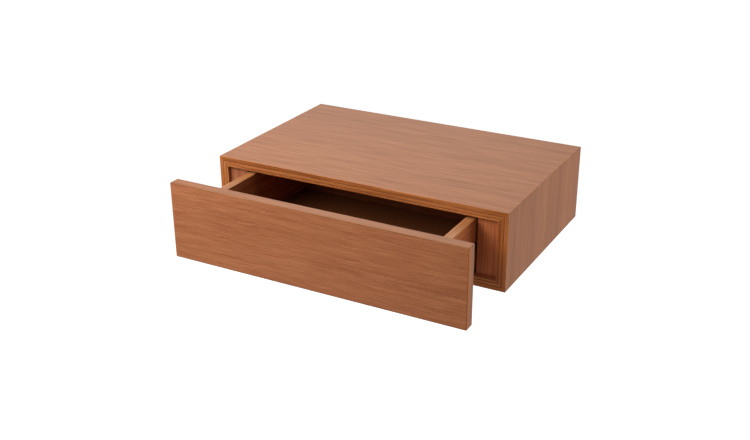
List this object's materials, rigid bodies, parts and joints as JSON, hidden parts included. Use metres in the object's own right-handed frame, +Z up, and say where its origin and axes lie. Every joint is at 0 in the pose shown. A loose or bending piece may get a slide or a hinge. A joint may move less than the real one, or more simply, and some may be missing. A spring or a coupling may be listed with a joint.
{
  "type": "floating shelf with drawer",
  "caption": "Wall-hung box shelf in a beech finish with mitred walls and one pull-out drawer behind a plain slab front that covers the box, on a hidden steel wall bracket.",
  "frame": {"origin": "on the wall plane, at the middle of the four wall screw holes of the bracket, which is also mid-width and mid-height of the box", "axes": "+X along the wall to the right seen from the room, -Y out into the room, where the drawer opens, +Y into the wall, +Z up"},
  "size_m": [0.4, 0.354, 0.1],
  "materials": {
    "beech_foil": "satin beech-print foil on fibreboard",
    "beech_edge": "satin streaked beech edge band",
    "drawer_foil": "satin beech-print foil on fibreboard",
    "drawer_edge": "satin light beech edge band",
    "hardboard": "plain hardboard",
    "fibreboard": "raw fibreboard",
    "hardwood": "planed beech",
    "zinc_plated_steel": "bright zinc plate",
    "cast_zinc": "as-cast zinc",
    "nylon": "moulded nylon"
  },
  "bodies": {
    "box": {"top_panel": "beech_foil", "bottom_panel": "beech_foil", "left_panel": "beech_foil", "right_panel": "beech_foil", "top_edge_band": "beech_edge", "bottom_edge_band": "beech_edge", "left_edge_band": "beech_edge", "right_edge_band": "beech_edge", "back_panel": "hardboard", "left_filler": "beech_foil", "right_filler": "beech_foil", "filler_dowels": "hardwood", "left_packing_rail": "fibreboard", "right_packing_rail": "fibreboard", "packing_rail_screws": "zinc_plated_steel", "left_runner": "hardwood", "right_runner": "hardwood", "runner_screws": "zinc_plated_steel", "wall_bracket": "zinc_plated_steel", "lock_screws": "zinc_plated_steel"},
    "drawer": {"drawer_front": "drawer_foil", "front_top_band": "drawer_edge", "front_bottom_band": "drawer_edge", "front_left_band": "drawer_edge", "front_right_band": "drawer_edge", "drawer_left_side": "drawer_foil", "drawer_right_side": "drawer_foil", "left_side_band": "drawer_edge", "right_side_band": "drawer_edge", "drawer_back": "drawer_foil", "drawer_back_band": "drawer_edge", "drawer_bottom": "hardboard", "front_dowels": "hardwood", "cam_bolts": "zinc_plated_steel", "cam_discs": "cast_zinc", "drawer_back_screws": "zinc_plated_steel", "drawer_bottom_screws": "zinc_plated_steel", "left_stop_peg": "nylon", "right_stop_peg": "nylon"}
  },
  "joints": [
    {"name": "drawer_slide", "type": "slide", "parent": "box", "child": "drawer", "axis": [0, -1, 0], "range_m": [-0.0887, 0.061]}
  ]
}
